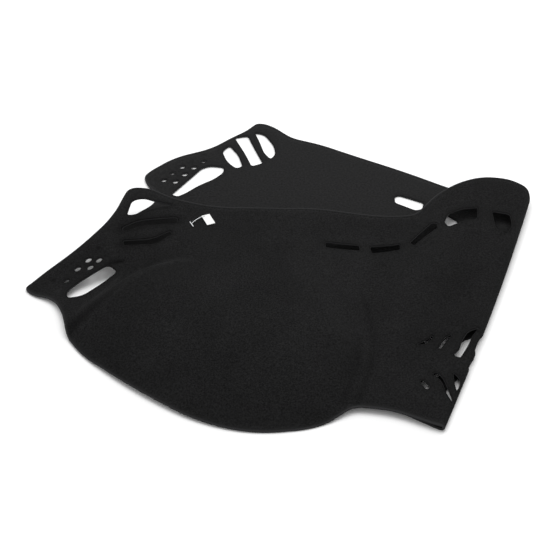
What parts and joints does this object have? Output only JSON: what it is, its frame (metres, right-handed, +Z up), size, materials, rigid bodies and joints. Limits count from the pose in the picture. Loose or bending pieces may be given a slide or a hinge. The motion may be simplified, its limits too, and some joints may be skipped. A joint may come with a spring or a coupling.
{
  "type": "dashboard cover mat",
  "caption": "Carpet dashboard cover cut and formed to a car's dash top, with vent and demister slots and a raised instrument hood, folded once and lying flat with a blank hang tag.",
  "frame": {"origin": "middle of the folded mat's box, on the surface that it lies on", "axes": "+Z up, +Y from the instrument hood's edge to the windscreen edge as it lies, +X towards the fold"},
  "size_m": [0.7854, 0.7362, 0.0537],
  "materials": {
    "carpet": "matte needle-punched pile",
    "tag_card": "smooth coated card",
    "clear_nylon": "translucent"
  },
  "bodies": {
    "root": {"dash_mat": "carpet", "tag": "tag_card", "tag_pin": "clear_nylon"}
  },
  "joints": []
}
